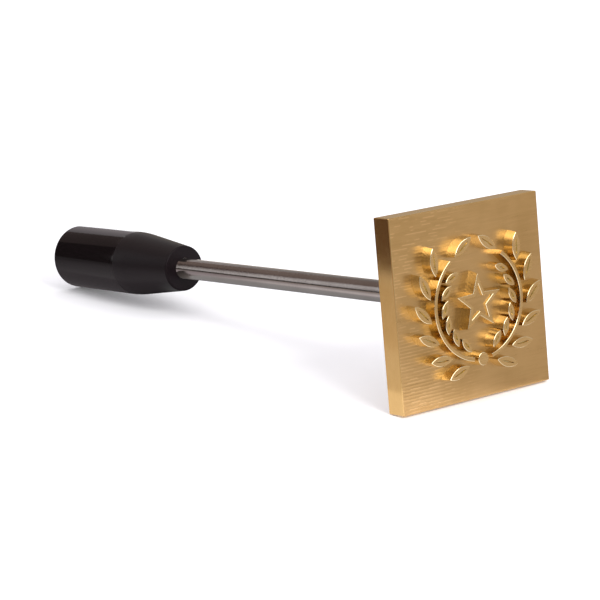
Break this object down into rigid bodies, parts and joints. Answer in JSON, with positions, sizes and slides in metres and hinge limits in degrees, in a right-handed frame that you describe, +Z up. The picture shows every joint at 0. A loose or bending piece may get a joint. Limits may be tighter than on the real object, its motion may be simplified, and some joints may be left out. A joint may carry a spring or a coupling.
{
  "type": "branding iron",
  "caption": "Hand branding iron lying at rest: square milled brass die with a raised wreath and star, plain steel rod, lock nut and a black moulded handle with a tapered nose.",
  "frame": {"origin": "on the table, under the middle of the tool's length", "axes": "+X along the tool from the handle towards the branding face, +Z up, with the tool lying on the lower back edge of its die and on the rear rim of its handle"},
  "size_m": [0.3148, 0.083, 0.0835],
  "materials": {
    "die_brass": "milled, with fine parallel tool lines on the floor",
    "ground_steel": "ground round a plain bar",
    "zinc_steel": "bright zinc plated",
    "black_phenolic": "polished moulding",
    "insert_brass": "turned"
  },
  "bodies": {
    "root": {"die_plate": "die_brass", "rod": "ground_steel", "lock_washer": "zinc_steel", "lock_nut": "zinc_steel", "handle": "black_phenolic", "handle_insert": "insert_brass"}
  },
  "joints": []
}
